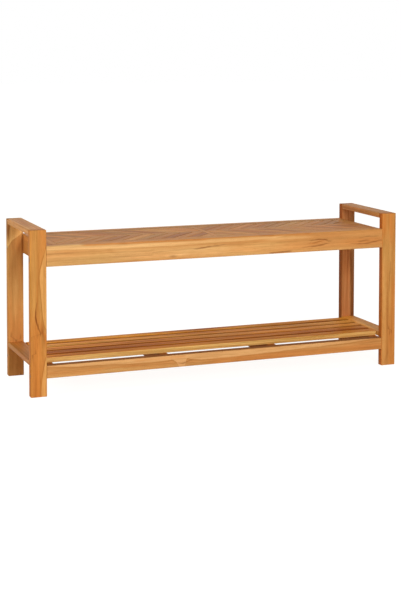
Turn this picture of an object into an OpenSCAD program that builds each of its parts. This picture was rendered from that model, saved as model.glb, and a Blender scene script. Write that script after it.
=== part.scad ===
// Long teak bench: two end frames with hand rails, a boxed seat with a herringbone panel,
// and a slatted shelf. Millimetres. The length runs along X, the front faces -Y, the floor is z = 0,
// and the origin lies on the floor under the middle of the bench.

/* [Overall] */
// Length over the posts
bench_l = 1100; // [900:10:1500]
// Depth over the posts
bench_d = 280; // [250:5:360]
// Height to the top of the posts and arms
bench_h = 450; // [420:5:520]
// Height of the seat above the floor
seat_h = 405; // [360:1:405]
// Height of the underside of the shelf frame above the floor
shelf_clearance = 49; // [30:1:100]
// Width of the flat taken off each long edge
ease = 1.6; // [0.8:0.1:2.4]

/* [End frames] */
// Width of a post, along the bench
post_w = 45; // [38:1:60]
// Thickness of a post, front to back
post_t = 20; // [18:1:22]
// Thickness of an arm board
arm_t = 15; // [12:1:20]
// Thickness of a side stretcher and of the shelf slats beside it
stretcher_t = 14; // [12:1:18]

/* [Seat box] */
// Height of the aprons and end rails
apron_h = 55; // [50:1:75]
// Thickness of an apron
apron_t = 22; // [20:1:28]
// Thickness of a seat end rail
end_rail_t = 22; // [18:1:28]
// Width of a seat bearer, along the bench
bearer_w = 24; // [22:1:32]

/* [Seat panel] */
// Thickness of the diagonal slats
panel_t = 14; // [10:1:18]
// Width of a border rail as seen from above
border_w = 18; // [14:1:30]
// Width of the spine and the cross rail as seen from above
spine_w = 18; // [14:1:30]
// Width of the lip that carries the slat ends
lip_w = 10; // [6:1:14]
// Thickness of the lip
lip_t = 8; // [6:1:9]
// Width of a diagonal slat
diagonal_w = 24; // [18:1:40]
// Gap between diagonal slats
diagonal_gap = 2.8; // [2:0.2:5]
// Play between a slat end and the rail beside it
panel_play = 0.4; // [0.2:0.1:1]

/* [Shelf] */
// Height of the shelf rails and bars
rail_h = 35; // [34:1:50]
// Thickness of a shelf rail
rail_t = 22; // [20:1:28]
// Width of a shelf bar, along the bench
bar_w = 24; // [22:1:30]
// Gap between neighbouring shelf slats
shelf_gap = 9; // [4:0.5:12]
// Gap between a shelf rail and the nearest slat, seen from above
shelf_margin = 10; // [4:0.5:16]
// Play between a slat end and the stretcher beside it
shelf_play = 1.5; // [0.5:0.5:3]

/* [Fasteners] */
// Diameter of a frame bolt
bolt_d = 6; // [5:0.5:8]
// Diameter of a bolt head
bolt_head_d = 10; // [9:0.5:12]
// Height of a bolt head
bolt_head_h = 6; // [4:0.5:7]
// Depth that a bolt head sits below the face of the post
bolt_sink = 1; // [0.5:0.5:3]
// Diameter of a barrel nut
barrel_d = 10; // [10:0.5:12]
// Length of a barrel nut
barrel_l = 14; // [12:1:15]
// Wood left between a barrel nut's hole and the cross pieces beside it
barrel_gap = 1.9; // [1:0.1:4]
// Length of bolt that stands out past the barrel nut
bolt_tip = 1; // [0.5:0.5:4]
// Height between the bolt and the dowel of one joint
joint_spread = 16; // [15:1:18]
// Diameter of a dowel
dowel_d = 6; // [5:0.5:7]
// Length of a dowel between a post and a rail, an arm or a stretcher
dowel_l = 30; // [24:1:34]
// Depth of an arm or stretcher dowel in the post
post_dowel_depth = 12; // [10:1:14]
// Spread of the two dowels at each end of an arm or stretcher
arm_dowel_spread = 24; // [16:1:26]
// Depth of a bearer, end rail or shelf bar dowel in the rail that carries it
rail_dowel_depth = 10; // [8:0.5:14]
// Length of a bearer, end rail or shelf bar dowel
rail_dowel_l = 26; // [20:1:30]
// Distance from the side of a bearer, end rail or bar to the axis of its dowel
dowel_edge = 5.5; // [5:0.25:5.75]
// Diameter of a screw shank
screw_d = 4; // [3.5:0.5:5]
// Diameter of a screw head
screw_head_d = 8; // [7:0.5:9]
// Height of a screw head
screw_head_h = 2.6; // [2:0.2:3.4]
// Length of a screw with its head
screw_l = 38; // [34:1:38]
// Depth that a screw bites into the piece above
screw_bite = 10; // [7:1:10]
// Radial clearance of a bolt in the wood
bolt_play = 0.3; // [0.1:0.1:0.5]
// Radial clearance of a dowel, barrel nut or screw in its hole
fit_play = 0.1; // [0.05:0.05:0.2]
// Room left past the end of a dowel, screw or barrel nut
end_play = 1; // [0.5:0.5:2]

/* [Hidden] */
$fn = 48;
// Overshoot of a cut past the face that it opens
cut = 0.5;

half_l = bench_l / 2;
half_d = bench_d / 2;
post_in_x = half_l - post_w;
post_mid_x = half_l - post_w / 2;
post_in_y = half_d - post_t;
post_mid_y = half_d - post_t / 2;
arm_z = bench_h - arm_t;

apron_z = seat_h - apron_h;
apron_in_y = half_d - apron_t;
end_rail_in_x = post_in_x - end_rail_t;
end_rail_mid_x = post_in_x - end_rail_t / 2;
panel_z = seat_h - panel_t;
lip_z = panel_z - lip_t;
bearer_mid_z = (apron_z + lip_z) / 2;
border_mid_y = apron_in_y - border_w / 2;
field_out_x = end_rail_in_x - border_w;
field_out_y = apron_in_y - border_w;
field_in = spine_w / 2;
lip_out_x = field_out_x - lip_w;
lip_out_y = field_out_y - lip_w;
lip_in = field_in + lip_w;
bearer_n = 5;

rail_z = shelf_clearance;
shelf_z = rail_z + rail_h;
rail_in_y = half_d - rail_t;
bar_n = 4;
bar_first = post_in_x - bar_w / 2;
slat_n = 5;
slat_out_y = rail_in_y - shelf_margin;
slat_w = (2 * slat_out_y - (slat_n - 1) * shelf_gap) / slat_n;
slat_end_x = post_in_x - shelf_play;

seat_joint_z = apron_z + apron_h / 2;
shelf_joint_z = rail_z + rail_h / 2;
barrel_room = barrel_d / 2 + fit_play + barrel_gap;
barrel_x = min(end_rail_in_x, post_in_x - bar_w) - barrel_room;
bearer_first = barrel_x - barrel_room - bearer_w / 2;
bolt_seat = bolt_sink + bolt_head_h;
bolt_l = half_l - bolt_seat - barrel_x + barrel_d / 2 + bolt_tip;

teak = "#cf8436";
teak_light = "#d99447";
teak_top = "#a56c40";
teak_shade = "#a8622a";
beech = "#d9bd8c";
steel = "#b9bcc0";

// Places of what repeats along and across the bench
function bearer_x(i) = -bearer_first + i * 2 * bearer_first / (bearer_n - 1);
function bar_x(i) = -bar_first + i * 2 * bar_first / (bar_n - 1);
function slat_y(i) = -slat_out_y + i * (slat_w + shelf_gap);
function slat_mid_y(i) = slat_y(i) + slat_w / 2;
function joint_bolt_z(z) = z - joint_spread / 2;
function joint_dowel_z(z) = z + joint_spread / 2;

// A rectangle with its four corners cut back by the easing
module eased_rect(w, h) {
    polygon([
        [ease, 0], [w - ease, 0], [w, ease], [w, h - ease],
        [w - ease, h], [ease, h], [0, h - ease], [0, ease]
    ]);
}

// Boards given by their low and high corners, eased along the grain, with square ends
module board_x(lo, hi) {
    translate(lo) rotate([90, 0, 90])
        linear_extrude(hi.x - lo.x) eased_rect(hi.y - lo.y, hi.z - lo.z);
}

module board_y(lo, hi) {
    translate([lo.x, hi.y, lo.z]) rotate([90, 0, 0])
        linear_extrude(hi.y - lo.y) eased_rect(hi.x - lo.x, hi.z - lo.z);
}

module board_z(lo, hi) {
    translate(lo) linear_extrude(hi.z - lo.z) eased_rect(hi.x - lo.x, hi.y - lo.y);
}

module block(lo, hi) {
    translate(lo) cube(hi - lo);
}

// Cylinders between two places on one axis
module rod_x(x0, x1, y, z, d) {
    translate([min(x0, x1), y, z]) rotate([0, 90, 0]) cylinder(d = d, h = abs(x1 - x0));
}

module rod_y(y0, y1, x, z, d) {
    translate([x, max(y0, y1), z]) rotate([90, 0, 0]) cylinder(d = d, h = abs(y1 - y0));
}

module rod_z(z0, z1, x, y, d) {
    translate([x, y, z0]) cylinder(d = d, h = z1 - z0);
}

// One post at the positive corner: right end, back
module post_shape() {
    difference() {
        intersection() {
            board_z([post_in_x, post_in_y, 0], [half_l, half_d, bench_h]);
            board_y([post_in_x, post_in_y - cut, 0], [half_l, half_d + cut, bench_h]);
            board_x([post_in_x - cut, post_in_y, 0], [half_l + cut, half_d, bench_h]);
        }
        for (z = [seat_joint_z, shelf_joint_z]) {
            rod_x(post_in_x - cut, half_l + cut, post_mid_y, joint_bolt_z(z), bolt_d + 2 * bolt_play);
            rod_x(half_l - bolt_seat, half_l + cut, post_mid_y, joint_bolt_z(z), bolt_head_d + 2 * bolt_play);
            rod_x(post_in_x - cut, post_in_x + dowel_l / 2 + end_play, post_mid_y, joint_dowel_z(z),
                dowel_d + 2 * fit_play);
        }
        for (z = [arm_z + arm_t / 2, shelf_z + stretcher_t / 2])
            for (side = [-1, 1])
                rod_y(post_in_y - cut, post_in_y + post_dowel_depth + end_play,
                    post_mid_x + side * arm_dowel_spread / 2, z, dowel_d + 2 * fit_play);
    }
}

module post(sx, sy) {
    color(teak) mirror([sx < 0 ? 1 : 0, 0, 0]) mirror([0, sy < 0 ? 1 : 0, 0]) post_shape();
}

// A flat board between the posts of one end: the arm, or the stretcher beside the shelf
module end_board(sx, z, t) {
    mirror([sx < 0 ? 1 : 0, 0, 0]) difference() {
        board_y([post_in_x, -post_in_y, z], [half_l, post_in_y, z + t]);
        for (side = [-1, 1])
            for (end = [-1, 1])
                rod_y(end * (post_in_y + cut), end * (post_in_y - dowel_l + post_dowel_depth - end_play),
                    post_mid_x + side * arm_dowel_spread / 2, z + t / 2, dowel_d + 2 * fit_play);
    }
}

module arm(sx) {
    color(teak) end_board(sx, arm_z, arm_t);
}

module stretcher(sx) {
    color(teak) end_board(sx, shelf_z, stretcher_t);
}

// The bolt, barrel nut and dowel holes at both ends of an apron or shelf rail on the back side
module rail_joint_holes(z, in_y) {
    for (side = [-1, 1]) {
        rod_x(side * (post_in_x + cut), side * (half_l - bolt_seat - bolt_l - end_play),
            post_mid_y, joint_bolt_z(z), bolt_d + 2 * bolt_play);
        rod_x(side * (post_in_x + cut), side * (post_in_x - dowel_l / 2 - end_play),
            post_mid_y, joint_dowel_z(z), dowel_d + 2 * fit_play);
        rod_y(in_y - cut, post_mid_y + barrel_l / 2 + fit_play, side * barrel_x,
            joint_bolt_z(z), barrel_d + 2 * fit_play);
    }
}

// Places along the bench of the two dowels side by side at the end of a cross piece of width w
function dowel_places(x, w) = [x - w / 2 + dowel_edge, x + w / 2 - dowel_edge];

// Holes in a long rail's inner face for the dowels of a cross piece at x, whose middle is at height z
module rail_dowel_holes(x, w, z, in_y) {
    for (dx = dowel_places(x, w))
        rod_y(in_y - cut, in_y + rail_dowel_depth + end_play / 2, dx, z, dowel_d + 2 * fit_play);
}

// Holes in both ends of a cross piece at x that spans the long rails
module cross_dowel_holes(x, w, z, in_y) {
    for (end = [-1, 1])
        for (dx = dowel_places(x, w))
            rod_y(end * (in_y + cut), end * (in_y + rail_dowel_depth - rail_dowel_l - end_play / 2),
                dx, z, dowel_d + 2 * fit_play);
}

// The dowels of a cross piece, at both of its ends
module cross_dowels(x, w, z, in_y) {
    for (end = [-1, 1])
        for (dx = dowel_places(x, w))
            rod_y(end * (in_y + rail_dowel_depth), end * (in_y + rail_dowel_depth - rail_dowel_l),
                dx, z, dowel_d);
}

module seat_apron(sy) {
    color(teak_light) mirror([0, sy < 0 ? 1 : 0, 0]) difference() {
        board_x([-post_in_x, apron_in_y, apron_z], [post_in_x, half_d, seat_h]);
        rail_joint_holes(seat_joint_z, apron_in_y);
        for (i = [0 : bearer_n - 1])
            rail_dowel_holes(bearer_x(i), bearer_w, bearer_mid_z, apron_in_y);
        for (side = [-1, 1])
            rail_dowel_holes(side * end_rail_mid_x, end_rail_t, seat_joint_z, apron_in_y);
    }
}

module seat_end_rail(sx) {
    color(teak) mirror([sx < 0 ? 1 : 0, 0, 0]) difference() {
        board_y([end_rail_in_x, -apron_in_y, apron_z], [post_in_x, apron_in_y, seat_h]);
        cross_dowel_holes(end_rail_mid_x, end_rail_t, seat_joint_z, apron_in_y);
    }
}

// Places across the bench of a bearer's screws: one in each long border and, where it crosses them,
// one in the spine or the cross rail
function bearer_screw_y(i) = i == 0 || i == bearer_n - 1
    ? [-border_mid_y, border_mid_y] : [-border_mid_y, 0, border_mid_y];

// A stepped screw hole from below through a cross piece standing on z, of height h
module screw_hole(x, y, z, h) {
    head_z = z + h + screw_bite - screw_l;
    rod_z(z - cut, head_z + screw_head_h, x, y, screw_head_d + 2 * bolt_play);
    rod_z(z, z + h + cut, x, y, screw_d + 2 * bolt_play);
}

// The pilot hole in the piece above, whose underside is at z
module screw_pilot(x, y, z) {
    rod_z(z - cut, z + screw_bite + end_play, x, y, screw_d + 2 * fit_play);
}

module seat_bearer(i) {
    x = bearer_x(i);
    color(teak_shade) difference() {
        board_y([x - bearer_w / 2, -apron_in_y, apron_z], [x + bearer_w / 2, apron_in_y, lip_z]);
        cross_dowel_holes(x, bearer_w, bearer_mid_z, apron_in_y);
        for (y = bearer_screw_y(i)) screw_hole(x, y, apron_z, lip_z - apron_z);
    }
}

// Front or back border: the upper part shows, the lower part is the lip under the slat ends
module panel_border_long(sy) {
    color(teak_top) mirror([0, sy < 0 ? 1 : 0, 0]) difference() {
        union() {
            block([-end_rail_in_x, field_out_y, panel_z], [end_rail_in_x, apron_in_y, seat_h]);
            block([-end_rail_in_x, lip_out_y, lip_z], [end_rail_in_x, apron_in_y, panel_z]);
        }
        for (i = [0 : bearer_n - 1]) screw_pilot(bearer_x(i), border_mid_y, lip_z);
    }
}

module panel_border_short(sx) {
    color(teak_top) mirror([sx < 0 ? 1 : 0, 0, 0]) {
        block([field_out_x, -field_out_y, panel_z], [end_rail_in_x, field_out_y, seat_h]);
        block([lip_out_x, -lip_out_y, lip_z], [end_rail_in_x, lip_out_y, panel_z]);
    }
}

module panel_cross_rail() {
    color(teak_top) difference() {
        union() {
            block([-field_in, -field_out_y, panel_z], [field_in, field_out_y, seat_h]);
            block([-lip_in, -lip_out_y, lip_z], [lip_in, lip_out_y, panel_z]);
        }
        screw_pilot(0, 0, lip_z);
    }
}

module panel_spine(sx) {
    color(teak_top) mirror([sx < 0 ? 1 : 0, 0, 0]) difference() {
        union() {
            block([field_in, -field_in, panel_z], [field_out_x, field_in, seat_h]);
            block([lip_in, -lip_in, lip_z], [lip_out_x, lip_in, panel_z]);
        }
        screw_pilot(bearer_x(bearer_n - 2), 0, lip_z);
    }
}

// One field of diagonal slats, drawn for the back right quarter. The joints start from the middle
// of the field, and the outermost slat on each side runs on into its corner.
module diagonal_field(sx, sy) {
    lo = [field_in + panel_play, field_in + panel_play];
    hi = [field_out_x - panel_play, field_out_y - panel_play];
    mid = (lo + hi) / 2;
    span = (hi.x - lo.x + hi.y - lo.y) / sqrt(2);
    pitch = diagonal_w + diagonal_gap;
    n = 2 * floor(span / pitch / 2);
    color(teak_top) mirror([sx < 0 ? 1 : 0, 0, 0]) mirror([0, sy < 0 ? 1 : 0, 0])
        for (k = [0 : n - 1]) {
            low = k == 0 ? -span : (k - n / 2) * pitch + diagonal_gap / 2;
            high = k == n - 1 ? span : (k + 1 - n / 2) * pitch - diagonal_gap / 2;
            translate([0, 0, panel_z]) linear_extrude(panel_t) intersection() {
                translate(lo) square(hi - lo);
                translate(mid) rotate(45) translate([-span, low]) square([2 * span, high - low]);
            }
        }
}

module shelf_rail(sy) {
    color(teak_light) mirror([0, sy < 0 ? 1 : 0, 0]) difference() {
        board_x([-post_in_x, rail_in_y, rail_z], [post_in_x, half_d, shelf_z]);
        rail_joint_holes(shelf_joint_z, rail_in_y);
        for (i = [0 : bar_n - 1]) rail_dowel_holes(bar_x(i), bar_w, shelf_joint_z, rail_in_y);
    }
}

module shelf_bar(i) {
    x = bar_x(i);
    color(teak_shade) difference() {
        board_y([x - bar_w / 2, -rail_in_y, rail_z], [x + bar_w / 2, rail_in_y, shelf_z]);
        cross_dowel_holes(x, bar_w, shelf_joint_z, rail_in_y);
        for (k = [0 : slat_n - 1]) screw_hole(x, slat_mid_y(k), rail_z, rail_h);
    }
}

module shelf_slat(k) {
    color(teak_top) difference() {
        board_x([-slat_end_x, slat_y(k), shelf_z], [slat_end_x, slat_y(k) + slat_w, shelf_z + stretcher_t]);
        for (i = [0 : bar_n - 1]) screw_pilot(bar_x(i), slat_mid_y(k), shelf_z);
    }
}

// A cap bolt with a hexagon socket, drawn for the back right post
module frame_bolt(z) {
    socket_d = 0.58 * bolt_head_d;
    difference() {
        union() {
            rod_x(half_l - bolt_seat, half_l - bolt_sink, post_mid_y, z, bolt_head_d);
            rod_x(half_l - bolt_seat - bolt_l, half_l - bolt_seat + cut, post_mid_y, z, bolt_d);
        }
        translate([half_l - bolt_sink - bolt_head_h / 2, post_mid_y, z]) rotate([0, 90, 0])
            cylinder(d = socket_d, h = bolt_head_h, $fn = 6);
    }
}

module at_corners() {
    for (sx = [0, 1])
        for (sy = [0, 1])
            mirror([sx, 0, 0]) mirror([0, sy, 0]) children();
}

module frame_bolts() {
    color(steel) at_corners()
        for (z = [seat_joint_z, shelf_joint_z]) frame_bolt(joint_bolt_z(z));
}

module barrel_nuts() {
    color(steel) at_corners()
        for (z = [seat_joint_z, shelf_joint_z])
            difference() {
                rod_y(post_mid_y - barrel_l / 2, post_mid_y + barrel_l / 2, barrel_x,
                    joint_bolt_z(z), barrel_d);
                rod_x(barrel_x - barrel_d, barrel_x + barrel_d, post_mid_y,
                    joint_bolt_z(z), bolt_d + 2 * fit_play);
            }
}

module post_dowels() {
    color(beech) at_corners()
        for (z = [seat_joint_z, shelf_joint_z])
            rod_x(post_in_x - dowel_l / 2, post_in_x + dowel_l / 2, post_mid_y, joint_dowel_z(z), dowel_d);
}

// The four dowels at each end of the boards whose middle is at height z
module end_board_dowels(z) {
    color(beech) at_corners()
        for (side = [-1, 1])
            rod_y(post_in_y + post_dowel_depth - dowel_l, post_in_y + post_dowel_depth,
                post_mid_x + side * arm_dowel_spread / 2, z, dowel_d);
}

module arm_dowels() {
    end_board_dowels(arm_z + arm_t / 2);
}

module stretcher_dowels() {
    end_board_dowels(shelf_z + stretcher_t / 2);
}

module seat_dowels() {
    color(beech) {
        for (i = [0 : bearer_n - 1]) cross_dowels(bearer_x(i), bearer_w, bearer_mid_z, apron_in_y);
        for (side = [-1, 1]) cross_dowels(side * end_rail_mid_x, end_rail_t, seat_joint_z, apron_in_y);
    }
}

module shelf_dowels() {
    color(beech)
        for (i = [0 : bar_n - 1]) cross_dowels(bar_x(i), bar_w, shelf_joint_z, rail_in_y);
}

// A wood screw from below, whose point reaches screw_bite above z
module screw(x, y, z) {
    head_z = z + screw_bite - screw_l;
    difference() {
        union() {
            translate([x, y, head_z])
                cylinder(d1 = screw_head_d, d2 = screw_d, h = screw_head_h);
            rod_z(head_z, z + screw_bite, x, y, screw_d);
        }
        translate([x, y, head_z - cut]) cylinder(d = screw_d * 0.8, h = screw_head_h / 2 + cut, $fn = 6);
    }
}

module panel_screws() {
    color(steel)
        for (i = [0 : bearer_n - 1])
            for (y = bearer_screw_y(i)) screw(bearer_x(i), y, lip_z);
}

module shelf_screws() {
    color(steel)
        for (i = [0 : bar_n - 1])
            for (k = [0 : slat_n - 1]) screw(bar_x(i), slat_mid_y(k), shelf_z);
}

post(-1, -1);  // post_front_left
post(1, -1);  // post_front_right
post(-1, 1);  // post_back_left
post(1, 1);  // post_back_right
arm(-1);  // arm_left
arm(1);  // arm_right
stretcher(-1);  // stretcher_left
stretcher(1);  // stretcher_right
seat_apron(-1);  // seat_apron_front
seat_apron(1);  // seat_apron_back
seat_end_rail(-1);  // seat_end_rail_left
seat_end_rail(1);  // seat_end_rail_right
seat_bearer(0);  // seat_bearer_1
seat_bearer(1);  // seat_bearer_2
seat_bearer(2);  // seat_bearer_3
seat_bearer(3);  // seat_bearer_4
seat_bearer(4);  // seat_bearer_5
panel_border_long(-1);  // panel_border_front
panel_border_long(1);  // panel_border_back
panel_border_short(-1);  // panel_border_left
panel_border_short(1);  // panel_border_right
panel_cross_rail();
panel_spine(-1);  // panel_spine_left
panel_spine(1);  // panel_spine_right
diagonal_field(-1, -1);  // panel_slats_front_left
diagonal_field(1, -1);  // panel_slats_front_right
diagonal_field(-1, 1);  // panel_slats_back_left
diagonal_field(1, 1);  // panel_slats_back_right
shelf_rail(-1);  // shelf_rail_front
shelf_rail(1);  // shelf_rail_back
shelf_bar(0);  // shelf_bar_1
shelf_bar(1);  // shelf_bar_2
shelf_bar(2);  // shelf_bar_3
shelf_bar(3);  // shelf_bar_4
shelf_slat(0);  // shelf_slat_1
shelf_slat(1);  // shelf_slat_2
shelf_slat(2);  // shelf_slat_3
shelf_slat(3);  // shelf_slat_4
shelf_slat(4);  // shelf_slat_5
frame_bolts();
barrel_nuts();
post_dowels();
arm_dowels();
stretcher_dowels();
seat_dowels();
shelf_dowels();
panel_screws();
shelf_screws();
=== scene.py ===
import math

import bmesh
import bpy
from mathutils import Matrix, Vector


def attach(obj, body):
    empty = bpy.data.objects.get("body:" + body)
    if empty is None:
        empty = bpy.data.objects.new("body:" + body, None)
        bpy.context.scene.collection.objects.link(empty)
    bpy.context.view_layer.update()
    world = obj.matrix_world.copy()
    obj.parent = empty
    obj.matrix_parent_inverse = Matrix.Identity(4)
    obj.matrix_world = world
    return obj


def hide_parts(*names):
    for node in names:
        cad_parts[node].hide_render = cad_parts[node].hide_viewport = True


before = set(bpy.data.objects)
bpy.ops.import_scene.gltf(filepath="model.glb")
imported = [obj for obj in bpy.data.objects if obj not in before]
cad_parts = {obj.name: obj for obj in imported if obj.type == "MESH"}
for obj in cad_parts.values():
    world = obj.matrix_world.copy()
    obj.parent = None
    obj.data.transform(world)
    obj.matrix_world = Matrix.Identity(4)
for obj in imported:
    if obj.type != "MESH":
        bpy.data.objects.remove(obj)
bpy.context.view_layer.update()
mm = 0.001
print("frame loaded:", len(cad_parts), "nodes")


# Helpers for colours, shader nodes and materials

def srgb(code):  # "#RRGGBB" to the linear colour that Blender's sockets hold
    values = [int(code[i:i + 2], 16) / 255 for i in (1, 3, 5)]
    return [v / 12.92 if v <= 0.04045 else ((v + 0.055) / 1.055) ** 2.4 for v in values] + [1.0]


def addNode(tree, kind, inputs=None, stops=None, **settings):  # one shader node, with its values and links
    node = tree.nodes.new("ShaderNode" + kind)
    for key, value in settings.items():
        setattr(node, key, value)
    for key, value in (inputs or {}).items():
        if isinstance(value, bpy.types.NodeSocket):
            tree.links.new(value, node.inputs[key])
        else:
            node.inputs[key].default_value = value
    for i, (place, level) in enumerate(stops or []):
        element = node.color_ramp.elements[i] if i < 2 else node.color_ramp.elements.new(place)
        element.position = place
        element.color = (level, level, level, 1.0)
    return node


def newMaterial(name):
    material = bpy.data.materials.new(name)
    material.use_nodes = True
    material.node_tree.nodes.clear()
    return material, material.node_tree


# Camera, floor and light

cameraLook = {  # solved from the bench's straight edges in the photograph
    "place": (-1.42013, -3.6544, 0.93428),
    "yaw": 21.0712,  # degrees, from straight along +Y towards +X
    "pitch": 3.2458,  # degrees, downwards
    "roll": 0.0626,
    "lens": 81.7369,
    "shiftY": -0.29201,
}


def makeCamera():
    yaw, pitch, roll = (math.radians(cameraLook[key]) for key in ("yaw", "pitch", "roll"))
    forward = Vector((math.sin(yaw) * math.cos(pitch), math.cos(yaw) * math.cos(pitch), -math.sin(pitch)))
    level = Vector((math.cos(yaw), -math.sin(yaw), 0.0))
    upright = level.cross(forward)
    right = math.cos(roll) * level + math.sin(roll) * upright
    up = math.cos(roll) * upright - math.sin(roll) * level
    data = bpy.data.cameras.new("camera")
    data.lens = cameraLook["lens"]
    data.shift_y = cameraLook["shiftY"]
    camera = bpy.data.objects.new("camera", data)
    bpy.context.scene.collection.objects.link(camera)
    turn = Matrix((right, up, -forward)).transposed().to_4x4()
    camera.matrix_world = Matrix.Translation(cameraLook["place"]) @ turn
    bpy.context.scene.camera = camera


floorLook = {
    "size": 60.0,  # metres
    "paint": "#F2F1EF",
    "glow": "#FFFEFC",
    "glowLevel": 0.945,  # what the camera sees of the floor beside its own shading
    "shadingShare": 0.26,  # and how much of that shading
}
roomLook = {
    "ambient": "#FFFBF5",
    "frontLevel": 0.05,  # light that comes from the front
    "backLevel": 0.22,  # and from behind, where no lamp stands
    "topLevel": 0.38,
    "rightLevel": 0.2,
}


def seenByCamera(tree):  # 1 for what the camera sees, also in metal or through glass, otherwise 0
    path = addNode(tree, "LightPath").outputs
    seen = addNode(tree, "Math", {0: path["Is Camera Ray"], 1: path["Is Glossy Ray"]},
                   operation="MAXIMUM").outputs[0]
    return addNode(tree, "Math", {0: seen, 1: path["Is Transmission Ray"]}, operation="MAXIMUM").outputs[0]


def makeFloor():
    material, tree = newMaterial("paintedStudioFloor")
    paint = addNode(tree, "BsdfDiffuse", {"Color": srgb(floorLook["paint"])}).outputs[0]
    black = addNode(tree, "BsdfDiffuse", {"Color": (0, 0, 0, 1)}).outputs[0]
    faint = addNode(tree, "MixShader", {0: floorLook["shadingShare"], 1: black, 2: paint}).outputs[0]
    glow = addNode(tree, "Emission", {"Color": srgb(floorLook["glow"]),
                                      "Strength": floorLook["glowLevel"]}).outputs[0]
    pale = addNode(tree, "AddShader", {0: glow, 1: faint}).outputs[0]
    mix = addNode(tree, "MixShader", {0: seenByCamera(tree), 1: paint, 2: pale}).outputs[0]
    addNode(tree, "OutputMaterial", {"Surface": mix})

    mesh = bpy.data.meshes.new("floor")
    shape = bmesh.new()
    bmesh.ops.create_grid(shape, x_segments=1, y_segments=1, size=floorLook["size"] / 2)
    shape.to_mesh(mesh)
    shape.free()
    mesh.materials.append(material)
    floor = bpy.data.objects.new("floor", mesh)
    bpy.context.scene.collection.objects.link(floor)


def makeRoom():
    world = bpy.data.worlds.new("studio")
    bpy.context.scene.world = world
    world.use_nodes = True
    tree = world.node_tree
    tree.nodes.clear()
    direction = addNode(tree, "SeparateXYZ", {0: addNode(tree, "TexCoord").outputs["Generated"]}).outputs
    level = addNode(tree, "MapRange", {"Value": direction["Y"], "From Min": -1.0,
                                       "To Min": roomLook["frontLevel"],
                                       "To Max": roomLook["backLevel"]}).outputs[0]
    for axis, key in (("Z", "topLevel"), ("X", "rightLevel")):
        share = addNode(tree, "MapRange", {"Value": direction[axis], "To Max": roomLook[key]}).outputs[0]
        level = addNode(tree, "Math", {0: level, 1: share}).outputs[0]
    room = addNode(tree, "Background", {"Color": srgb(roomLook["ambient"]), "Strength": level}).outputs[0]
    white = addNode(tree, "Background", {"Color": (1, 1, 1, 1), "Strength": 1.0}).outputs[0]
    mix = addNode(tree, "MixShader", {0: seenByCamera(tree), 1: room, 2: white}).outputs[0]
    addNode(tree, "OutputWorld", {"Surface": mix})


lamps = [  # they shine at their aim; width and height in metres, strength in watts
    {"name": "key", "place": (0.10, -3.3, 1.15), "aim": (0.0, 0.0, 0.25), "width": 0.06, "height": 1.8,
     "strength": 63},  # tall and narrow: crisp upright shadow edges, soft level ones
    {"name": "fill", "place": (-1.6, -0.35, 0.75), "aim": (-0.3, 0.0, 0.3), "width": 0.6, "height": 0.6,
     "strength": 6.2},
]


def makeLamps():
    for look in lamps:
        data = bpy.data.lights.new(look["name"], "AREA")
        data.shape = "RECTANGLE"
        data.size = look["width"]
        data.size_y = look["height"]
        data.energy = look["strength"]
        lamp = bpy.data.objects.new(look["name"], data)
        bpy.context.scene.collection.objects.link(lamp)
        lamp.visible_camera = False
        lamp.location = look["place"]
        towards = Vector(look["place"]) - Vector(look["aim"])
        lamp.rotation_mode = "QUATERNION"
        lamp.rotation_quaternion = towards.to_track_quat("Z", "Y")


makeCamera()
makeFloor()
makeRoom()
makeLamps()
bpy.context.scene.view_settings.view_transform = "Standard"
print("camera, floor and light ready")


# Teak: a warm golden brown hardwood, planed, sanded and oiled. The eye gets long soft lines that follow the
# growth rings, slow changes between golden and reddish wood, fine dark pores along the grain, paler sapwood
# at some edges and a dull oil sheen. Each board carries its own middle and number, so no two boards show the
# same piece of the trunk.

turns = {  # how the pattern turns so that its X runs along the grain
    "x": (0, 0, 0),
    "y": (0, 0, -math.pi / 2),
    "z": (0, math.pi / 2, 0),
    "rising": (0, 0, -math.pi / 4),
    "falling": (0, 0, math.pi / 4),
}

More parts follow.
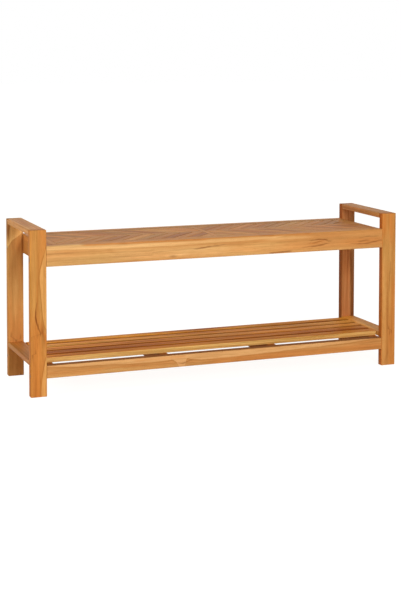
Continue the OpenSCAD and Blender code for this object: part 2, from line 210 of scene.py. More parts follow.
teakLook = {  # what the boards share; sizes in millimetres, along the grain first and then across it
    "base": "#CE8A42",
    "golden": (0.97, 1.10, 1.20),  # these six multiply the base colour
    "reddish": (1.04, 0.89, 0.83),
    "latewood": (0.66, 0.54, 0.42),
    "sapwood": (1.22, 1.40, 1.80),
    "knot": (0.40, 0.25, 0.15),
    "ember": (1.0, 0.78, 0.62),
    "deepen": (1.0, 1.45, 2.0),  # a darker spot is redder too: how far red, green and blue follow the tone
    "toneSpread": 0.06,  # how much one board differs from the next, in tone and in hue
    "hueSpread": 0.0,
    "trunk": (4000, 900, 900),  # how far apart in the trunk two boards may lie

    "ring": 11.0,  # width of a growth ring
    "ringLine": [(0.0, 0.3), (0.16, 0.0), (0.55, 0.22), (0.86, 1.0), (1.0, 0.3)],  # how dark, across a ring
    "ringShow": 0.36,
    "ringLeast": 0.2,  # how far the rings show where they are faintest
    "ringSwell": 1.5,  # and where they are strongest, times ringShow
    "ringPatch": (220, 35),  # how large the fainter and the stronger places are
    "heart": (62, 24),  # from the board's middle to the heart of the trunk
    "heartSpread": (60, 60),
    "wander": 28.0,  # how far the rings wander along the board
    "wanderSize": (380, 60),

    "hue": (260, 30),  # how large the golden and the reddish places are
    "patch": (300, 22),  # darker and paler places
    "patchShow": 0.2,
    "band": (420, 6),  # and darker and paler lines
    "bandShow": 0.2,
    "fibre": (90, 1.5),  # drawn coarser than the real 0.3 mm, so that it shows
    "fibreShow": 0.14,
    "pore": (24, 0.9),  # also drawn coarser than the real 0.2 mm
    "poreRange": (0.58, 0.72),  # only the peaks of that pattern are pores
    "poreShow": 0.12,
    "endTone": 0.8,  # end grain drinks more oil
    "arrisTone": 1.06,  # a sanded edge is a little paler, and this also paints a highlight along it
    "faceTints": {},  # tints for the faces that look one way, by the names in faceSides; most of them are painted light and shade

    "markAxis": 2,  # 2 where the marks are on the front face, 1 where they are on the top
    "redMarks": [],  # streaks: from, to, half width, strength
    "paleMarks": [],
    "darkMarks": [],
    "markStretch": 0.2,  # a mark fades this much more slowly along the grain than across it
    "markRagged": 0.45,
    "markFade": (1.5, 0.3),  # from nothing to full strength, in half widths from its middle line
    "knots": [],  # each: place along and across the grain, size, strength
    "knotStretch": 0.36,
    "knotReach": 3.4,  # how far round it a knot pushes the rings aside, in sizes
    "knotPush": 1.6,  # and how far it pushes them, in ring widths
    "knotFade": (1.5, 0.2),

    "sapEdge": None,  # where the paler sapwood begins, as places along and across the grain
    "sapSide": 1.0,  # it lies above that line or to its left, and with -1 on the other side
    "sapLean": 0.5,  # how far the line moves for each millimetre behind the front face
    "frontFace": 10.5,  # about how far that face lies before the middle of a board
    "sapRagged": 1.2,
    "sapSpan": (-6.0, 24.0),  # across the line; the next two give places as parts of this stretch
    "sapRise": (0.2, 0.29),  # where the sapwood begins and where it is full
    "lineRise": (0.09, 0.2, 0.27),  # where the dark line begins, is darkest and ends
    "sapShow": 1.0,
    "sapFar": 0.5,  # how much of the sapwood is left at the end of the stretch
    "sapLine": 0.5,  # how dark the line is

    "gloss": 0.25,  # sunk-in oil shines less than bare wood
    "rough": (0.46, 0.58),  # between the fibres and over them
    "poreDepth": -0.8,
    "bump": 0.25,
    "bumpHeight": 0.12,
}


def teak(name, grain, board):
    look = {**teakLook, **board}
    material, tree = newMaterial(name)
    base = srgb(look["base"])
    tint = {key: [b * s for b, s in zip(base, look[key])] + [1.0]
            for key in ("golden", "reddish", "latewood", "sapwood", "knot", "ember")}
    own = addNode(tree, "TexCoord").outputs["Object"]
    middle = addNode(tree, "Attribute", attribute_name="boardMiddle").outputs["Vector"]
    number = addNode(tree, "Attribute", attribute_name="board").outputs["Fac"]
    arris = addNode(tree, "Attribute", attribute_name="arris").outputs["Fac"]
    endGrain = addNode(tree, "Attribute", attribute_name="endGrain").outputs["Fac"]
    local = addNode(tree, "VectorMath", {0: own, 1: middle}, operation="SUBTRACT").outputs[0]
    turned = addNode(tree, "Mapping", {"Vector": local, "Rotation": turns[grain],
                                       "Scale": (1 / mm, 1 / mm, 1 / mm)}).outputs[0]
    parts = addNode(tree, "SeparateXYZ", {0: turned}).outputs
    luck = addNode(tree, "TexWhiteNoise", {"W": number}, noise_dimensions="1D").outputs["Color"]
    lots = addNode(tree, "SeparateXYZ", {0: luck}).outputs
    place = addNode(tree, "VectorMath", {0: luck, 1: look["trunk"], 2: turned},
                    operation="MULTIPLY_ADD").outputs[0]

    def stretched(size, detail, low=0.3, high=0.7):  # a pattern between 0 and 1, drawn out along the grain
        scaled = addNode(tree, "VectorMath", {0: place, 1: (1 / size[0], 1 / size[1], 1 / size[1])},
                         operation="MULTIPLY").outputs[0]
        noise = addNode(tree, "TexNoise", {"Vector": scaled, "Scale": 1.0, "Detail": detail,
                                           "Roughness": 0.55}).outputs[0]
        return addNode(tree, "MapRange", {"Value": noise, "From Min": low, "From Max": high}).outputs[0]

    def onFace(along, side):  # the same two values as a vector, for the face with the marks
        return (along, side, 0) if look["markAxis"] == 1 else (along, 0, side)

    def awayFrom(centre, size, stretch):  # how many sizes a spot lies from a mark's middle
        offset = addNode(tree, "VectorMath", {0: turned, 1: centre}, operation="SUBTRACT").outputs[0]
        scaled = addNode(tree, "VectorMath", {0: offset, 1: onFace(stretch / size, 1 / size)},
                         operation="MULTIPLY").outputs[0]
        return addNode(tree, "VectorMath", {0: scaled}, operation="LENGTH").outputs["Value"]

    fibres = stretched(look["fibre"], detail=3.0)
    lowest, highest = look["poreRange"]
    pores = stretched(look["pore"], detail=0.0, low=lowest, high=highest)

    # Growth rings round a heart that lies outside the board, and which wander along it
    heart = addNode(tree, "VectorMath", {0: luck, 1: (0, *look["heartSpread"]), 2: (0, *look["heart"])},
                    operation="MULTIPLY_ADD").outputs[0]
    across = addNode(tree, "VectorMath", {0: turned, 1: (0, 1, 1), 2: heart},
                     operation="MULTIPLY_ADD").outputs[0]
    radius = addNode(tree, "VectorMath", {0: across}, operation="LENGTH").outputs["Value"]
    swerve = stretched(look["wanderSize"], detail=3.0, low=0.0, high=1.0)
    bent = addNode(tree, "Math", {0: swerve, 1: look["wander"], 2: radius},
                   operation="MULTIPLY_ADD").outputs[0]
    knotCores = []
    for along, side, size, strength in look["knots"]:  # a knot pushes the rings aside and has a dark middle
        away = awayFrom(onFace(along, side), size, look["knotStretch"])
        near = addNode(tree, "MapRange", {"Value": away, "From Min": look["knotReach"], "From Max": 0.0},
                       interpolation_type="SMOOTHERSTEP").outputs[0]
        bent = addNode(tree, "Math", {0: near, 1: look["ring"] * look["knotPush"], 2: bent},
                       operation="MULTIPLY_ADD").outputs[0]
        core = addNode(tree, "MapRange", {"Value": away, "From Min": look["knotFade"][0],
                                          "From Max": look["knotFade"][1], "To Max": strength},
                       interpolation_type="SMOOTHSTEP").outputs[0]
        knotCores.append(core)
    saw = addNode(tree, "Math", {0: bent, 1: 1 / look["ring"]}, operation="MULTIPLY").outputs[0]
    saw = addNode(tree, "Math", {0: saw}, operation="FRACT").outputs[0]
    ringLine = addNode(tree, "ValToRGB", {0: saw}, stops=look["ringLine"]).outputs[0]
    fade = addNode(tree, "MapRange", {"Value": stretched(look["ringPatch"], detail=1.0),
                                      "To Min": look["ringLeast"],
                                      "To Max": look["ringShow"] * look["ringSwell"]}).outputs[0]
    rings = addNode(tree, "Math", {0: ringLine, 1: fade}, operation="MULTIPLY").outputs[0]

    # Colour, from the broad changes to the fine ones
    ownHue = addNode(tree, "MapRange", {"Value": lots[1], "To Min": -look["hueSpread"],
                                        "To Max": look["hueSpread"]}).outputs[0]
    hue = addNode(tree, "Math", {0: ownHue, 1: stretched(look["hue"], detail=2.0)}).outputs[0]
    colour = addNode(tree, "Mix", {"Factor": hue, "A": tint["golden"], "B": tint["reddish"]},
                     data_type="RGBA", clamp_factor=False).outputs["Result"]
    if look["sapEdge"]:  # a curve along the board, with a dark line where the sapwood starts
        alongs, sides = zip(*look["sapEdge"])
        length, low, high = alongs[-1] - alongs[0], min(sides), max(sides)
        stops = [((a - alongs[0]) / length, (s - low) / (high - low)) for a, s in look["sapEdge"]]
        along = addNode(tree, "MapRange", {"Value": parts[0], "From Min": alongs[0],
                                           "From Max": alongs[-1]}).outputs[0]
        edge = addNode(tree, "ValToRGB", {0: along}, stops=stops).outputs[0]
        edge = addNode(tree, "MapRange", {"Value": edge, "To Min": low, "To Max": high}).outputs[0]
        beyond = addNode(tree, "Math", {0: parts[look["markAxis"]], 1: edge},
                         operation="SUBTRACT").outputs[0]
        shift = addNode(tree, "Math", {0: parts[1], 1: look["sapLean"],
                                       2: look["frontFace"] * look["sapLean"]},
                        operation="MULTIPLY_ADD").outputs[0]
        beyond = addNode(tree, "Math", {0: beyond, 1: look["sapSide"], 2: shift},
                         operation="MULTIPLY_ADD").outputs[0]
        ragged = addNode(tree, "Math", {0: fibres, 1: look["sapRagged"], 2: beyond},
                         operation="MULTIPLY_ADD").outputs[0]
        reach = addNode(tree, "MapRange", {"Value": ragged, "From Min": look["sapSpan"][0],
                                           "From Max": look["sapSpan"][1]}).outputs[0]
        begin, full = look["sapRise"]
        sap = addNode(tree, "ValToRGB", {0: reach}, stops=[
            (begin, 0.0), (full, look["sapShow"]), (1.0, look["sapShow"] * look["sapFar"])]).outputs[0]
        colour = addNode(tree, "Mix", {"Factor": sap, "A": colour, "B": tint["sapwood"]},
                         data_type="RGBA").outputs["Result"]
        begin, darkest, end = look["lineRise"]
        line = addNode(tree, "ValToRGB", {0: reach}, stops=[
            (begin, 0.0), (darkest, look["sapLine"]), (end, 0.0)]).outputs[0]
        rings = addNode(tree, "Math", {0: rings, 1: line}, operation="MAXIMUM").outputs[0]
    colour = addNode(tree, "Mix", {"Factor": rings, "A": colour, "B": tint["latewood"]},
                     data_type="RGBA").outputs["Result"]
    covers = []
    for key, shade in (("redMarks", "ember"), ("paleMarks", "sapwood"), ("darkMarks", "knot")):
        for start, end, width, strength in look[key]:
            part = addNode(tree, "MapRange", {"Value": parts[0], "From Min": start[0],
                                              "From Max": end[0]}).outputs[0]
            run = onFace(end[0] - start[0], end[1] - start[1])
            centre = addNode(tree, "VectorMath", {0: part, 1: run, 2: onFace(*start)},
                             operation="MULTIPLY_ADD").outputs[0]
            away = awayFrom(centre, width, look["markStretch"])
            away = addNode(tree, "Math", {0: fibres, 1: look["markRagged"], 2: away},
                           operation="MULTIPLY_ADD").outputs[0]
            cover = addNode(tree, "MapRange", {"Value": away, "From Min": look["markFade"][0],
                                               "From Max": look["markFade"][1], "To Max": strength},
                            interpolation_type="SMOOTHSTEP").outputs[0]
            covers.append((cover, shade))
    for cover, shade in covers + [(core, "knot") for core in knotCores]:
        colour = addNode(tree, "Mix", {"Factor": cover, "A": colour, "B": tint[shade]},
                         data_type="RGBA").outputs["Result"]

    # Tone: each pattern multiplies the colour by a little more or less than 1
    tone = addNode(tree, "MapRange", {"Value": lots[0], "To Min": 1 - look["toneSpread"],
                                      "To Max": 1 + look["toneSpread"]}).outputs[0]
    swings = [(stretched(look["patch"], detail=2.0), look["patchShow"]),
              (stretched(look["band"], detail=2.0), look["bandShow"]), (fibres, look["fibreShow"])]
    steps = [(pattern, 1 + show / 2, 1 - show / 2) for pattern, show in swings]
    steps += [(pores, 1.0, 1 - look["poreShow"]), (endGrain, 1.0, look["endTone"]),
              (arris, 1.0, look["arrisTone"])]
    for pattern, low, high in steps:
        step = addNode(tree, "MapRange", {"Value": pattern, "To Min": low, "To Max": high}).outputs[0]
        tone = addNode(tree, "Math", {0: tone, 1: step}, operation="MULTIPLY").outputs[0]
    tone = addNode(tree, "VectorMath", {0: tone, 1: look["deepen"], 2: [1 - d for d in look["deepen"]]},
                   operation="MULTIPLY_ADD").outputs[0]
    colour = addNode(tree, "VectorMath", {0: colour, 1: tone}, operation="MULTIPLY").outputs[0]
    # Painted light and shade, mostly: each face that looks one way gets its own tint
    for side, shade in look["faceTints"].items():
        chosen = addNode(tree, "Attribute", attribute_name=side).outputs["Fac"]
        shade = addNode(tree, "Mix", {"Factor": chosen, "A": (1, 1, 1, 1), "B": (*shade, 1)},
                        data_type="RGBA").outputs["Result"]
        colour = addNode(tree, "VectorMath", {0: colour, 1: shade}, operation="MULTIPLY").outputs[0]

    # Surface: oil that has sunk in, duller over the fibres than between them
    rough = addNode(tree, "MapRange", {"Value": fibres, "To Min": look["rough"][0],
                                       "To Max": look["rough"][1]}).outputs[0]
    depth = addNode(tree, "Math", {0: pores, 1: look["poreDepth"], 2: fibres},
                    operation="MULTIPLY_ADD").outputs[0]
    bump = addNode(tree, "Bump", {"Height": depth, "Strength": look["bump"],
                                  "Distance": look["bumpHeight"] * mm}).outputs[0]
    surface = addNode(tree, "BsdfPrincipled", {"Base Color": colour, "Roughness": rough, "Normal": bump,
                                               "IOR": 1.45, "Specular IOR Level": look["gloss"]})
    addNode(tree, "OutputMaterial", {"Surface": surface.outputs[0]})
    return material


# Zinc-plated steel: the screws, bolts and nuts. A pale cool metal with a fine blotchy plating

steelLook = {
    "colour": "#C9CCD0",
    "stain": "#A7A9A4",
    "roughness": (0.28, 0.45),
    "blotchScale": 420,  # blotches of 2.4 mm
}


def zincPlatedSteel():
    material, tree = newMaterial("zincPlatedSteel")
    own = addNode(tree, "TexCoord").outputs["Object"]
    blotch = addNode(tree, "TexNoise", {"Vector": own, "Scale": steelLook["blotchScale"],
                                        "Detail": 3.0}).outputs[0]
    low, high = steelLook["roughness"]
    rough = addNode(tree, "MapRange", {"Value": blotch, "From Min": 0.3, "From Max": 0.7, "To Min": low,
                                       "To Max": high}).outputs[0]
    colour = addNode(tree, "Mix", {"Factor": blotch, "A": srgb(steelLook["colour"]),
                                   "B": srgb(steelLook["stain"])}, data_type="RGBA").outputs["Result"]
    surface = addNode(tree, "BsdfPrincipled", {"Base Color": colour, "Roughness": rough, "Metallic": 1.0})
    addNode(tree, "OutputMaterial", {"Surface": surface.outputs[0]})
    return material


# Beech: the raw turned dowels inside the joints. Pale, with short brown flecks

beechLook = {"light": "#E2C190", "fleck": "#B98F5C", "fleckScale": (900, 300, 900)}  # flecks of 1 by 3 mm


def rawBeech():
    material, tree = newMaterial("rawBeech")
    own = addNode(tree, "TexCoord").outputs["Object"]
    small = addNode(tree, "Mapping", {"Vector": own, "Scale": beechLook["fleckScale"]}).outputs[0]
    fleck = addNode(tree, "TexNoise", {"Vector": small, "Scale": 1.0, "Detail": 2.0}).outputs[0]
    fleck = addNode(tree, "MapRange", {"Value": fleck, "From Min": 0.55, "From Max": 0.75}).outputs[0]
    colour = addNode(tree, "Mix", {"Factor": fleck, "A": srgb(beechLook["light"]),
                                   "B": srgb(beechLook["fleck"])}, data_type="RGBA").outputs["Result"]
    surface = addNode(tree, "BsdfPrincipled", {"Base Color": colour, "Roughness": 0.7})
    addNode(tree, "OutputMaterial", {"Surface": surface.outputs[0]})
    return material


# Boards: each is the CAD board with its edges rounded over by sandpaper

grainAxes = {"x": (1, 0, 0), "y": (0, 1, 0), "z": (0, 0, 1), "rising": (1, 1, 0), "falling": (1, -1, 0)}

faceSides = {"front": (0, -1, 0), "top": (0, 0, 1), "left": (-1, 0, 0)}

boardLook = {
    "round": 0.7,  # mm, how far the sanding rounds an edge
    "slatRound": 1.0,
    "roundSteps": 2,
    "sharpAngle": 0.5,  # radians
    "shortest": 1.5,  # mm, an edge shorter than this belongs to a hole and stays
    "endFacing": 0.8,  # how squarely a face looks along the grain to be end grain
    "sideFacing": 0.7,  # and how squarely it looks one way to get that side's tint
    "firstNumber": 10,
    "numberStep": 20,  # more than the 14 slats of a field, so that each has a number of its own
}


def looseParts(shape):  # a field of slats is one mesh, and each slat is a loose part of it
    unseen = set(shape.verts)
    found = []
    while unseen:
        group, queue = set(), [unseen.pop()]
        while queue:
            vert = queue.pop()
            group.add(vert)
            for edge in vert.link_edges:
                other = edge.other_vert(vert)
                if other in unseen:
                    unseen.discard(other)
                    queue.append(other)
        found.append(group)

    def centre(group):
        total = sum((vert.co for vert in group), Vector())
        return tuple(round(value, 5) for value in total / len(group))
    return sorted(found, key=centre)


def makeBoard(node, grain, material, number, rounding):
    shape = bmesh.new()
    shape.from_mesh(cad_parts[node].data)
    bmesh.ops.remove_doubles(shape, verts=shape.verts, dist=1e-6)
    bmesh.ops.dissolve_limit(shape, angle_limit=0.01, verts=shape.verts, edges=shape.edges)
    sharp = [edge for edge in shape.edges if len(edge.link_faces) == 2
             and edge.calc_face_angle() > boardLook["sharpAngle"]
             and edge.calc_length() > boardLook["shortest"] * mm]
    result = bmesh.ops.bevel(shape, geom=sharp, offset=rounding * mm, offset_type="OFFSET", affect="EDGES",
                             segments=boardLook["roundSteps"], profile=0.5, material=-1, clamp_overlap=True)
    arrisFaces = set(result["faces"])
    boardLayer = shape.verts.layers.float.new("board")
    middleLayer = shape.verts.layers.float_vector.new("boardMiddle")
    arrisLayer = shape.faces.layers.float.new("arris")
    endLayer = shape.faces.layers.float.new("endGrain")
    sideLayers = [(shape.faces.layers.float.new(side), Vector(way)) for side, way in faceSides.items()]
    axis = Vector(grainAxes[grain]).normalized()
    for i, group in enumerate(looseParts(shape)):
        low = Vector([min(vert.co[k] for vert in group) for k in range(3)])
        high = Vector([max(vert.co[k] for vert in group) for k in range(3)])
        for vert in group:
            vert[boardLayer] = number + i
            vert[middleLayer] = (low + high) / 2
    for face in shape.faces:
        face.smooth = True
        face[arrisLayer] = 1.0 if face in arrisFaces else 0.0
        face[endLayer] = 1.0 if abs(face.normal.dot(axis)) > boardLook["endFacing"] else 0.0
        for layer, way in sideLayers:
            face[layer] = 1.0 if face.normal.dot(way) > boardLook["sideFacing"] else 0.0
    mesh = bpy.data.meshes.new(node + "_board")
    shape.to_mesh(mesh)
    shape.free()
    mesh.materials.append(material)
    board = bpy.data.objects.new(node + "_board", mesh)
    bpy.context.scene.collection.objects.link(board)
    even = board.modifiers.new("evenShading", "WEIGHTED_NORMAL")
    even.keep_sharp = False
    even.weight = 100  # the large faces decide, so that they look flat
    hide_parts(node)
    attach(board, "root")
    return board


boards = []  # every board so far, in the order that numbers them


def addBoards(nodes, grain, wood, look, rounding=boardLook["round"]):
    material = teak("oiledTeak" + wood, grain, look)
    for node in nodes:
        number = boardLook["firstNumber"] + boardLook["numberStep"] * len(boards)
        boards.append(makeBoard(node, grain, material, number, rounding))


# The four posts

frontLeftPost = {
    "base": "#CB8A41",
    "gloss": 0.12,
    "band": (150, 7),
    # painted shade: the face that looks left is darker and less blue
    "faceTints": {"left": (0.89, 0.78, 0.42)},
    "sapSide": -1.0,  # to the right of the line, seen from the front
    "sapEdge": [(-224, -3.8), (-205, -5.3), (-184, -8.1), (-165, -11.0), (-146, -13.8), (-120, -19.5),
                (-108, -26), (-50, -26), (-36, -16.4), (-15, -12.0), (11, -9.2), (38, -7.2), (58, -5.6),
                (80, -3.6), (98, -2.8), (118, -4.6), (145, -12.2), (176, -21.0), (190, -26)],
    "sapLine": 0.75,
    "darkMarks": [((2, 7.8), (24, 5.8), 1.9, 0.5), ((-9, 8.4), (2, 7.8), 2.3, 0.8),  # a crack, in five parts
                  ((-19, 6.2), (-9, 8.4), 2.3, 0.85), ((-34, 2.0), (-19, 6.2), 2.2, 0.85),
                  ((-51, -4.6), (-34, 2.0), 2.1, 0.8),
                  ((-60, 19), (-57, 4), 2.6, 0.3), ((-57, 4), (-53, -9), 2.6, 0.35),
                  ((-109, 17), (-107, 9), 2.8, 0.5), ((-225, 10), (-75, 10), 14.0, 0.14),
                  ((-66, -14), (-52, -11), 7.0, 0.4)],
    "redMarks": [((-62, -18), (-48, -9), 6.0, 0.9), ((-225, 7), (-72, 7), 20.0, 0.9),
                 ((200, -16), (214, -10), 8.0, 0.5), ((-215, 2), (-170, 4), 7.0, 0.5),
                 ((20, 3), (80, 3), 3.0, 0.4)],
    "paleMarks": [((30, 15), (190, 12), 5.0, 0.15)],
}
frontRightPost = {
    "base": "#CA8A45",
    "gloss": 0.12,
    "band": (120, 8),
    "ringShow": 0.26,
    # painted shade: the face that looks left is darker and less blue
    "faceTints": {"left": (0.99, 0.69, 0.42)},
    "darkMarks": [((52, -5.6), (76, -5.8), 2.0, 0.35), ((4, -2), (46, -2.2), 2.4, 0.3),
                  ((-108, 2.5), (-60, 3), 2.2, 0.2), ((-118, -1), (-121, -10), 2.4, 0.6),
                  ((-129, -4), (-129, -13), 2.4, 0.45), ((143, 8), (141, -8), 1.5, 0.25),
                  ((-212, 9), (-190, 3), 5.0, 0.25), ((-200, 3), (-100, 4), 4.0, 0.12)],
    "redMarks": [((-225, -13), (0, -14), 10.0, 0.6), ((185, 15), (215, 15), 8.0, 0.9),
                 ((170, -8), (220, -6), 11.0, 0.7)],
    "paleMarks": [((-215, 15), (75, 14), 8.0, 0.4), ((70, -6), (150, 0), 6.0, 0.3)],
}
backLeftPost = {
    "base": "#CC9350",
    "gloss": 0.08,
    "band": (150, 8),
    "bandShow": 0.15,
    "patchShow": 0.1,
    # painted shade: the face that looks left is darker and less blue
    "faceTints": {"left": (0.95, 0.85, 0.7)},
    # the pale top of the front face, drawn with the sapwood pattern and its paler colour, is painted light
    # that falls under the arm
    "sapwood": (1.4, 1.75, 2.1),
    "sapEdge": [(-225, 34), (140, 27), (148, 20), (158, 13), (165, 8), (172, -4), (183, -19), (190, -27),
                (225, -27)],
    "sapLine": 0.2,
    # the second mark, along the right edge from 100 to 172, is a painted shadow of the front post and the
    # arm
    "darkMarks": [((192, 21), (210, 19), 7.0, 0.8), ((100, -19), (172, -19), 4.0, 0.3),
                  ((-112, 0), (-10, 0), 24.0, 0.09), ((-224, -13), (-224, -21), 2.2, 0.95),
                  ((-119, -13), (-122, 0), 3.0, 0.4), ((-122, 0), (-112, 14), 3.0, 0.4)],
    # the first red mark, along the right edge, is the same painted shadow; the second is painted shade over
    # the foot, below the stretcher
    "redMarks": [((60, -12), (160, -10), 12.0, 0.4), ((-225, 0), (-150, 0), 34.0, 0.5)],
    "paleMarks": [((-30, 3), (30, 2), 9.0, 0.3)],
}
backRightPost = {
    "base": "#C07E49",
    "gloss": 0.06,
    "bandShow": 0.35,
    # painted shade: the face that looks left is darker and less blue
    "faceTints": {"left": (0.84, 0.64, 0.44)},
    # painted shade just under the seat: the darker and redder marks near the top of the part below it
    "darkMarks": [((40, 0), (70, 0), 8.0, 0.3), ((20, -12), (60, -11), 4.0, 0.25)],
    "redMarks": [((30, 4), (80, 2), 14.0, 0.5)],
}
addBoards(["post_front_left"], "z", "FrontLeftPost", frontLeftPost)
addBoards(["post_front_right"], "z", "FrontRightPost", frontRightPost)
addBoards(["post_back_left"], "z", "BackLeftPost", backLeftPost)
addBoards(["post_back_right"], "z", "BackRightPost", backRightPost)

# Between the posts at each end: the arm at the top, the stretcher near the floor

arms = {"base": "#CF8F49", "gloss": 0.2, "patchShow": 0.35, "bandShow": 0.45, "ringShow": 0.5}
# painted shade: the left arm's outer face, which looks left, is darker and less blue
leftArm = {**arms, "faceTints": {"left": (0.9, 0.86, 0.75)}}
# painted light: the right arm's inner face, which looks left and lies in shade, is paler
rightArm = {**arms, "faceTints": {"left": (1.2, 1.2, 1.3)}}
leftStretcher = {"base": "#C68038", "gloss": 0.15}
rightStretcher = {
    "base": "#DA9A4A",
    "gloss": 0.18,
    "bandShow": 0.35,
    # painted light: the top face is paler, where the front post's shadow falls on it
    "faceTints": {"top": (1.32, 1.34, 0.92)},
}
addBoards(["arm_left"], "y", "LeftArm", leftArm)
addBoards(["arm_right"], "y", "RightArm", rightArm)
addBoards(["stretcher_left"], "y", "LeftStretcher", leftStretcher)
addBoards(["stretcher_right"], "y", "RightStretcher", rightStretcher)

# The long boards at the front and back of the seat and of the shelf

frontApron = {
    "base": "#D9A15D",
    "gloss": 0.2,
    "ringShow": 0.26,
    "bandShow": 0.13,
    "sapEdge": [(-505, 17), (-410, 14.5), (-328, 12), (-242, 11), (-155, 10), (-66, 13), (0, 13), (60, 13.5),
                (160, 16.5), (240, 29)],
    "sapShow": 0.8,
    "sapLine": 0.2,
    "darkMarks": [((-76, -0.8), (-58, 1.0), 2.6, 0.65), ((-58, 1.0), (-42, 3.0), 2.4, 0.5),  # a crack
                  ((-42, 3.0), (-18, 4.6), 2.4, 0.45), ((-18, 4.6), (2, 6.8), 2.2, 0.35),
                  ((2, 6.8), (60, 5.6), 2.4, 0.2),
                  ((-505, 6.6), (-436, 6.6), 2.0, 0.25), ((-318, 1.0), (-212, 0.4), 2.6, 0.22),
                  ((-312, -11), (-212, -11.6), 2.0, 0.22), ((-400, 27), (-290, 25), 2.6, 0.22),
                  ((-290, 24.4), (-80, 24.6), 4.2, 0.26), ((-80, 25.6), (150, 26.4), 2.2, 0.22),
                  ((-200, -4), (-90, 0), 2.0, 0.2), ((152, -24.6), (204, -22.6), 2.6, 0.75),
                  ((270, -25.4), (355, -25.4), 1.8, 0.3), ((120, 26), (262, 25.5), 2.6, 0.3),
                  ((170, 5.2), (226, 5.2), 2.4, 0.2),
                  ((276, 5.2), (299, 6.8), 2.2, 0.5), ((299, 6.8), (318, 5.6), 2.6, 0.55),  # a flat knot
                  ((318, 5.6), (330, 0.4), 2.6, 0.55), ((276, 5.2), (272, -3), 2.0, 0.3),
                  ((252, -13.6), (285, -12), 2.0, 0.4), ((285, -12), (306, -9.6), 2.8, 0.65),
                  ((306, -9.6), (322, -6.6), 2.4, 0.55), ((286, -2.4), (301, 0.8), 2.4, 0.5),
                  ((407, -10.6), (430, -12.2), 2.0, 0.4), ((430, -12.2), (456, -12.2), 2.4, 0.55),  # another
                  ((456, -12.2), (477, -8.8), 2.6, 0.55), ((477, -8.8), (497, -5.2), 2.4, 0.5),
                  ((434, 5.6), (458, 8.2), 2.0, 0.3), ((458, 8.2), (482, 6.8), 2.2, 0.35),
                  ((437, -5), (448, -3.4), 3.4, 0.55),
                  ((300, 22), (505, 20), 9.0, 0.14), ((330, 0), (505, -2), 30.0, 0.18)],
    "redMarks": [((283, -3.6), (304, 1.4), 4.6, 1.0), ((425, -4), (500, -6), 13.0, 0.9),
                 ((250, -6), (505, -8), 22.0, 0.5), ((270, 20), (505, 22), 13.0, 0.6),
                 ((150, 25), (262, 25), 4.0, 0.8), ((-390, 26), (-60, 24.4), 4.0, 0.9),
                 ((-60, 25.6), (150, 26), 2.6, 0.8), ((-260, -14), (-100, -12), 4.0, 0.3)],
    "paleMarks": [((-240, -8), (-60, -6), 20.0, 0.4), ((-140, -14), (-120, -12), 6.0, 0.5),
                  ((150, 15), (255, 15), 5.0, 0.4)],
    "knots": [(-146, -18, 4.0, 0.45)],
    # painted shade: the top face is a little darker and less blue
    "faceTints": {"top": (1.0, 0.96, 0.86)},
}
backApron = {"base": "#CE9150"}
frontShelfRail = {
    "base": "#D19555",
    "gloss": 0.04,
    "sapEdge": [(-505, 12.5), (-460, 9.8), (-428, 7.4), (-369, 6.6), (-324, 5), (-278, 2.4), (-213, 1.4),
                (-163, 2.6), (-149, 4), (-137, -3), (-128, -20), (-112, -20), (-106, 5.6), (-96, 2),
                (-66, -2.5), (-21, -3.4), (24, -3.4), (85, -1.2), (165, 0.8), (253, 4.6), (305, 5.0),
                (333, 7.2), (400, 8.6), (440, 12), (482, 15.5), (505, 17)],
    "sapFar": 0.85,
    "sapLine": 0.6,
    "darkMarks": [((-118, -8), (-96, -1), 2.4, 0.45), ((-90, -14), (-20, -10), 3.0, 0.2),
                  ((60, -14), (505, -12), 9.0, 0.16)],
    "redMarks": [((0, -10), (505, -6), 11.0, 0.65), ((-500, -6), (-380, -8), 9.0, 0.4),
                 ((-380, -2), (-250, -4), 4.0, 0.4), ((-250, 10), (-120, 11), 3.0, 0.5)],
    "faceTints": {"top": (0.42, 0.32, 0.26)},  # painted shade on this face, which the slats overhang
}
backShelfRail = {"base": "#C98845"}
addBoards(["seat_apron_front"], "x", "FrontApron", frontApron)
addBoards(["seat_apron_back"], "x", "BackApron", backApron)
addBoards(["shelf_rail_front"], "x", "FrontShelfRail", frontShelfRail)
addBoards(["shelf_rail_back"], "x", "BackShelfRail", backShelfRail)

# The boards across, under the seat panel and under the shelf slats

endRails = {"base": "#C98843"}
bearers = {"base": "#BC7A3A", "toneSpread": 0.12, "gloss": 0.05}
addBoards(["seat_end_rail_left", "seat_end_rail_right"], "y", "EndRails", endRails)
addBoards([f"seat_bearer_{i}" for i in range(1, 6)] + [f"shelf_bar_{i}" for i in range(1, 5)], "y",
          "Bearers", bearers)

# The seat panel: its border and spines, then the fields of diagonal slats

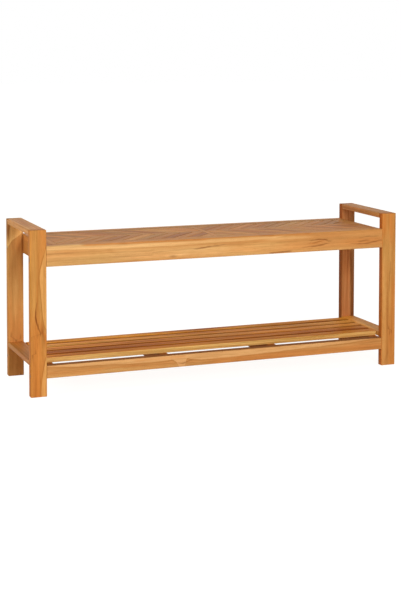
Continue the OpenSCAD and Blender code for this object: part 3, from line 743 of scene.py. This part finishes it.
borders = {"base": "#D08E45", "toneSpread": 0.08, "gloss": 0.22}
backBorder = {**borders, "base": "#BE8548", "gloss": 0.04}
diagonalSlats = {
    "base": "#CB8941",
    "toneSpread": 0.27,
    "hueSpread": 0.3,
    "gloss": 0.22,
    "ringShow": 0.28,
    "patchShow": 0.14,
    "bandShow": 0.14,
}
addBoards(["panel_border_front", "panel_spine_left", "panel_spine_right"], "x", "Borders",
          borders)
addBoards(["panel_border_back"], "x", "BackBorder", backBorder)
addBoards(["panel_border_left", "panel_border_right", "panel_cross_rail"], "y",
          "EndBorders", borders)
addBoards(["panel_slats_front_left", "panel_slats_back_right"], "rising", "RisingSlats",
          diagonalSlats, boardLook["slatRound"])
addBoards(["panel_slats_front_right", "panel_slats_back_left"], "falling",
          "FallingSlats", diagonalSlats, boardLook["slatRound"])

# The shelf's slats

shelfSlat = {
    "gloss": 0.06,
    "markAxis": 1,
    "ringShow": 0.6,
    "patchShow": 0.7,
    "bandShow": 0.7,
    "fibreShow": 0.2,
    "faceTints": {"front": (0.45, 0.36, 0.3)},  # painted shade on the faces inside the gaps
}
shelfSlats = {  # from the front slat to the back one
    "shelf_slat_1": {"base": "#DC8A28", "ringShow": 0.45, "patchShow": 0.25, "bandShow": 0.5,
                     "faceTints": {"front": (1.07, 1.74, 6.2)},  # its front face is paler, and has none of the painted shade in the gaps
                     "darkMarks": [((-500, -10), (-450, -8), 5.0, 0.6), ((-450, -8), (-366, -4), 3.5, 0.5),
                                   ((-366, -4), (-250, 0), 3.0, 0.35), ((-505, 8), (-380, 10), 4.0, 0.35)],
                     "paleMarks": [((330, 0), (505, 2), 12.0, 0.45)]},
    "shelf_slat_2": {"base": "#D9892E",
                     "darkMarks": [((-480, 0), (-400, 4), 5.0, 0.45), ((-400, 4), (-300, 8), 4.0, 0.35),
                                   ((-60, -4), (40, 0), 5.0, 0.4)],
                     "paleMarks": [((360, 2), (505, 2), 11.0, 0.8)]},
    "shelf_slat_3": {"base": "#EEA146", "darkMarks": [((-500, 2), (-380, 6), 5.0, 0.25)]},
    "shelf_slat_4": {"base": "#F2A94C"},
    "shelf_slat_5": {"base": "#EEA436"},
}
for node, look in shelfSlats.items():
    addBoards([node], "x", node.title().replace("_", ""), {**shelfSlat, **look})
print("boards ready:", len(boards))

# The bolts, nuts, screws and dowels keep their CAD shape

steel, beech = zincPlatedSteel(), rawBeech()
finishes = {
    "frame_bolts": steel,
    "barrel_nuts": steel,
    "panel_screws": steel,
    "shelf_screws": steel,
    "post_dowels": beech,
    "arm_dowels": beech,
    "stretcher_dowels": beech,
    "seat_dowels": beech,
    "shelf_dowels": beech,
}
for node, finish in finishes.items():
    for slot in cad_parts[node].material_slots:
        slot.material = finish
print("fasteners ready:", len(finishes))
